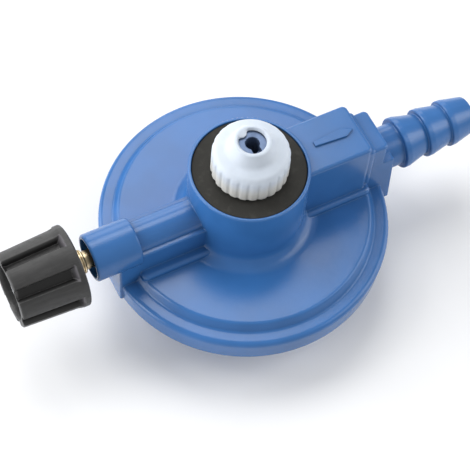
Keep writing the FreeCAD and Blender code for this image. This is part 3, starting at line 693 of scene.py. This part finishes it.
class REGULATOR_OT_make_knob(BuildOperator):
    """Builds the tap's knob: fluted side, recessed outer face with a rim, and a hub round the screw."""

    bl_idname = "regulator.make_knob"
    bl_label = "Make tap knob"

    def execute(self, context):
        s = context.scene.regulator_knob
        low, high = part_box("tap_knob")
        axis_z = joint_point("tap_turn").z
        length = high.x - low.x
        bore, pocket, hub, screw_bore = 3.05 * MM, 4.0 * MM, 4.6 * MM, 1.35 * MM
        pocket_floor = length - 3 * MM
        body_end = length - 3.6 * MM
        recess_floor, hub_face = 4.5 * MM, 3.2 * MM
        corners = [
            (bore, 8 * MM, 0),
            (bore, pocket_floor, 0),
            (pocket, pocket_floor, 0),
            (pocket, length, 0.3 * MM),
            (s.ring_radius, length, 0.5 * MM),
            (s.ring_radius, length - 1.8 * MM, 0.6 * MM),
            (s.body_radius, body_end, 0.6 * MM),
            (s.tip_radius, 0, 0.5 * MM),
            (s.recess_radius, 0, 0.3 * MM),
            (s.recess_radius - 0.2 * MM, recess_floor, 0.8 * MM),
            (hub, recess_floor, 0.5 * MM),
            (hub, hub_face, 0.4 * MM),
            (screw_bore, hub_face, 0),
            (screw_bore, 7.6 * MM, 0),
        ]
        outline = densified(rounded_profile(corners, 7), 0.42 * MM)
        half_flute = s.flute_width / 2 / s.body_radius
        pitch = 2 * math.pi / s.flutes
        scoop_start = length - 3.2 * MM
        scoop = 1.8 * MM
        past_ring = 1.0 * MM
        lip = 0.8 * MM
        taper = (s.body_radius - s.tip_radius) / body_end
        side_start = s.recess_radius + 0.3 * MM

        def along_scoop(height):
            """0 along the flute and 1 past the scoop at its inner end."""
            return np.clip((height - scoop_start) / scoop, 0, 1)

        def floor_radius(height):
            """A cone one flute depth inside the body, which climbs to past the ring along the scoop and by a
            quarter of the depth along the lip at the outer end."""
            rise = np.clip(1 - height / lip, 0, 1)
            deep = s.tip_radius + taper * height - s.flute_depth
            return deep + along_scoop(height) * (s.flute_depth + past_ring) + rise * s.flute_depth * 0.25

        def surface(turn):
            """The radius is cut back to the flute's floor where the angle to the nearest flute is under half
            its width, which grows by a third along the scoop, with steep smooth sides."""
            radius, height = outline[None, :, 0], outline[None, :, 1]
            away = np.abs((turn - s.flute_turn + pitch / 2) % pitch - pitch / 2)
            half = half_flute * (1 + 0.35 * along_scoop(height))
            across = 1 - smoothstep(half * 0.90, half * 1.06, away)
            cut = np.clip(radius - floor_radius(height), 0, None) * (radius > side_start)
            return radius - cut * across, height + 0 * turn

        around = s.flutes * 72
        knob = lathe("tap_knob_shell", surface, around=around)
        turns = np.linspace(0, 2 * math.pi, around, endpoint=False)[:, None]
        cut_radius, heights = surface(turns)
        in_flute = np.clip((outline[None, :, 0] - cut_radius) / (0.6 * s.flute_depth), 0, 1)
        # mask of the painted reflection on each flute's scoop
        scoop_highlight = along_scoop(heights) * (in_flute > 0.02)
        for name, values in (("flute", in_flute), ("scoop_highlight", scoop_highlight)):
            mask = knob.data.attributes.new(name, "FLOAT", "POINT")
            mask.data.foreach_set("value", values.ravel().astype(np.float32))
        lay_along_x(knob, axis_z)
        knob.data.transform(Matrix.Translation((low.x, 0, 0)))
        dress(knob, knob_material(self.finish_settings(context)))
        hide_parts("tap_knob")
        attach(knob, "tap")
        return {"FINISHED"}


class REGULATOR_OT_make_spring(BuildOperator):
    """Builds the main spring as one smooth coil."""

    bl_idname = "regulator.make_spring"
    bl_label = "Make main spring"

    def execute(self, context):
        low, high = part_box("main_spring")
        wire = 0.6 * MM
        coil = 7.6 * MM
        turns = 3 + 7 / 12
        angle = np.linspace(0, 2 * math.pi * turns, 400)
        share = angle / angle[-1]
        height = (low.z + wire) + (high.z - low.z - 2 * wire) * share
        out = np.stack([np.cos(angle), np.sin(angle), 0 * angle], axis=-1)
        path = out * coil + np.stack([0 * angle, 0 * angle, height], axis=-1)
        spring = tube("coil_spring", path, out, wire, around=14)
        s = self.finish_settings(context)
        dress(spring, turned_metal("spring_wire", s.steel, 0.28, axis_scale=(1, 1, 1)))
        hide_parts("main_spring")
        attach(spring, "root")
        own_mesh(spring)
        return {"FINISHED"}


# Softboxes: name, azimuth and elevation in degrees, diameter in metres, power in watts
LAMPS = (
    ("window_left", 268, 15, 0.5, 3.6),
    ("window_back_left", 225, 15, 0.5, 2.2),
    ("softbox_back_left", 228, 42, 0.5, 3.0),
    ("fill_right", 75, 18, 0.7, 2.0),
    ("fill_front_right", 60, 42, 0.6, 1.8),
    ("fill_back", 165, 20, 0.5, 1.3),
    ("softbox_top", 168, 60, 0.5, 2.5),
)


class REGULATOR_OT_make_stage(BuildOperator):
    """Builds the pale floor, the soft studio lights and the camera."""

    bl_idname = "regulator.make_stage"
    bl_label = "Make floor, lights and camera"

    def area_light(self, s, name, azimuth, elevation, size, power):
        """Round softbox on a sphere round the part, turned to face it."""
        turn, rise = math.radians(azimuth), math.radians(elevation)
        out = Vector((math.sin(turn) * math.cos(rise), -math.cos(turn) * math.cos(rise), math.sin(rise)))
        data = bpy.data.lights.new(name, "AREA")
        data.shape = "DISK"
        data.size = size
        data.energy = power
        lamp = bpy.data.objects.new(name, data)
        lamp.location = out * s.lamp_distance + Vector((0, 0, s.lamp_aim))
        lamp.rotation_euler = (-out).to_track_quat("-Z", "Y").to_euler()
        bpy.context.scene.collection.objects.link(lamp)

    def camera(self, s):
        """Camera on a sphere round the target, then turned by pan, tilt and roll."""
        azimuth, elevation = s.azimuth, s.elevation
        forward = Vector((-math.sin(azimuth) * math.cos(elevation), math.cos(azimuth) * math.cos(elevation),
                          -math.sin(elevation)))
        right = Vector((math.cos(azimuth), math.sin(azimuth), 0))
        place = Vector((0, 0, s.target_height)) - forward * s.distance
        ahead = math.cos(s.pan) * forward + math.sin(s.pan) * right
        right = math.cos(s.pan) * right - math.sin(s.pan) * forward
        up = right.cross(ahead)
        look = math.cos(s.tilt) * ahead + math.sin(s.tilt) * up
        up = math.cos(s.tilt) * up - math.sin(s.tilt) * ahead
        rolled_right = math.cos(s.roll) * right + math.sin(s.roll) * up
        rolled_up = math.cos(s.roll) * up - math.sin(s.roll) * right
        data = bpy.data.cameras.new("camera")
        data.lens = s.lens
        data.sensor_width = 36
        data.clip_start = 0.01
        data.clip_end = 20
        cam = bpy.data.objects.new("camera", data)
        turn = Matrix((rolled_right, rolled_up, -look)).transposed()
        cam.matrix_world = Matrix.Translation(place) @ turn.to_4x4()
        bpy.context.scene.collection.objects.link(cam)
        bpy.context.scene.camera = cam

    def execute(self, context):
        s = context.scene.regulator_stage
        reach = 3.0
        corners = [(-reach, -reach, 0), (reach, -reach, 0), (reach, reach, 0), (-reach, reach, 0)]
        mesh = bpy.data.meshes.new("table")
        mesh.from_pydata(corners, [], [(0, 1, 2, 3)])
        table = bpy.data.objects.new("table", mesh)
        context.scene.collection.objects.link(table)
        dress(table, floor_material(s))
        world = bpy.data.worlds.new("studio")
        world.use_nodes = True
        background = world.node_tree.nodes["Background"]
        background.inputs["Color"].default_value = (1.0, 1.0, 1.0, 1)
        background.inputs["Strength"].default_value = s.room_light
        context.scene.world = world
        context.scene.view_settings.view_transform = "Standard"
        for name, azimuth, elevation, size, power in LAMPS:
            self.area_light(s, name, azimuth, elevation, size, power)
        self.camera(s)
        return {"FINISHED"}


class REGULATOR_PT_build(bpy.types.Panel):
    """Build steps of the regulator, in order."""

    bl_label = "Gas regulator"
    bl_idname = "REGULATOR_PT_build"
    bl_space_type = "VIEW_3D"
    bl_region_type = "UI"
    bl_category = "Regulator"

    def draw(self, context):
        for step in STEPS:
            self.layout.operator(step.bl_idname)
        for group in SETTINGS:
            box = self.layout.box()
            settings = getattr(context.scene, group)
            for name in settings.bl_rna.properties.keys()[2:]:
                box.prop(settings, name)


STEPS = (
    REGULATOR_OT_make_stage,
    REGULATOR_OT_paint_casting,
    REGULATOR_OT_finish_metal,
    REGULATOR_OT_finish_soft,
    REGULATOR_OT_make_gasket,
    REGULATOR_OT_make_cap,
    REGULATOR_OT_make_knob,
    REGULATOR_OT_make_spring,
)
SETTINGS = {
    "regulator_finish": FinishSettings,
    "regulator_cap": CapSettings,
    "regulator_knob": KnobSettings,
    "regulator_stage": StageSettings,
}


def register():
    for group in SETTINGS.values():
        bpy.utils.register_class(group)
    for cls in (*STEPS, REGULATOR_PT_build):
        bpy.utils.register_class(cls)
    for name, group in SETTINGS.items():
        setattr(bpy.types.Scene, name, bpy.props.PointerProperty(type=group))


def unregister():
    for name in SETTINGS:
        delattr(bpy.types.Scene, name)
    for cls in (REGULATOR_PT_build, *reversed(STEPS), *SETTINGS.values()):
        bpy.utils.unregister_class(cls)


def main():
    register()
    for step in STEPS:
        group, name = step.bl_idname.split(".")
        getattr(getattr(bpy.ops, group), name)()


if __name__ == "__main__":
    main()
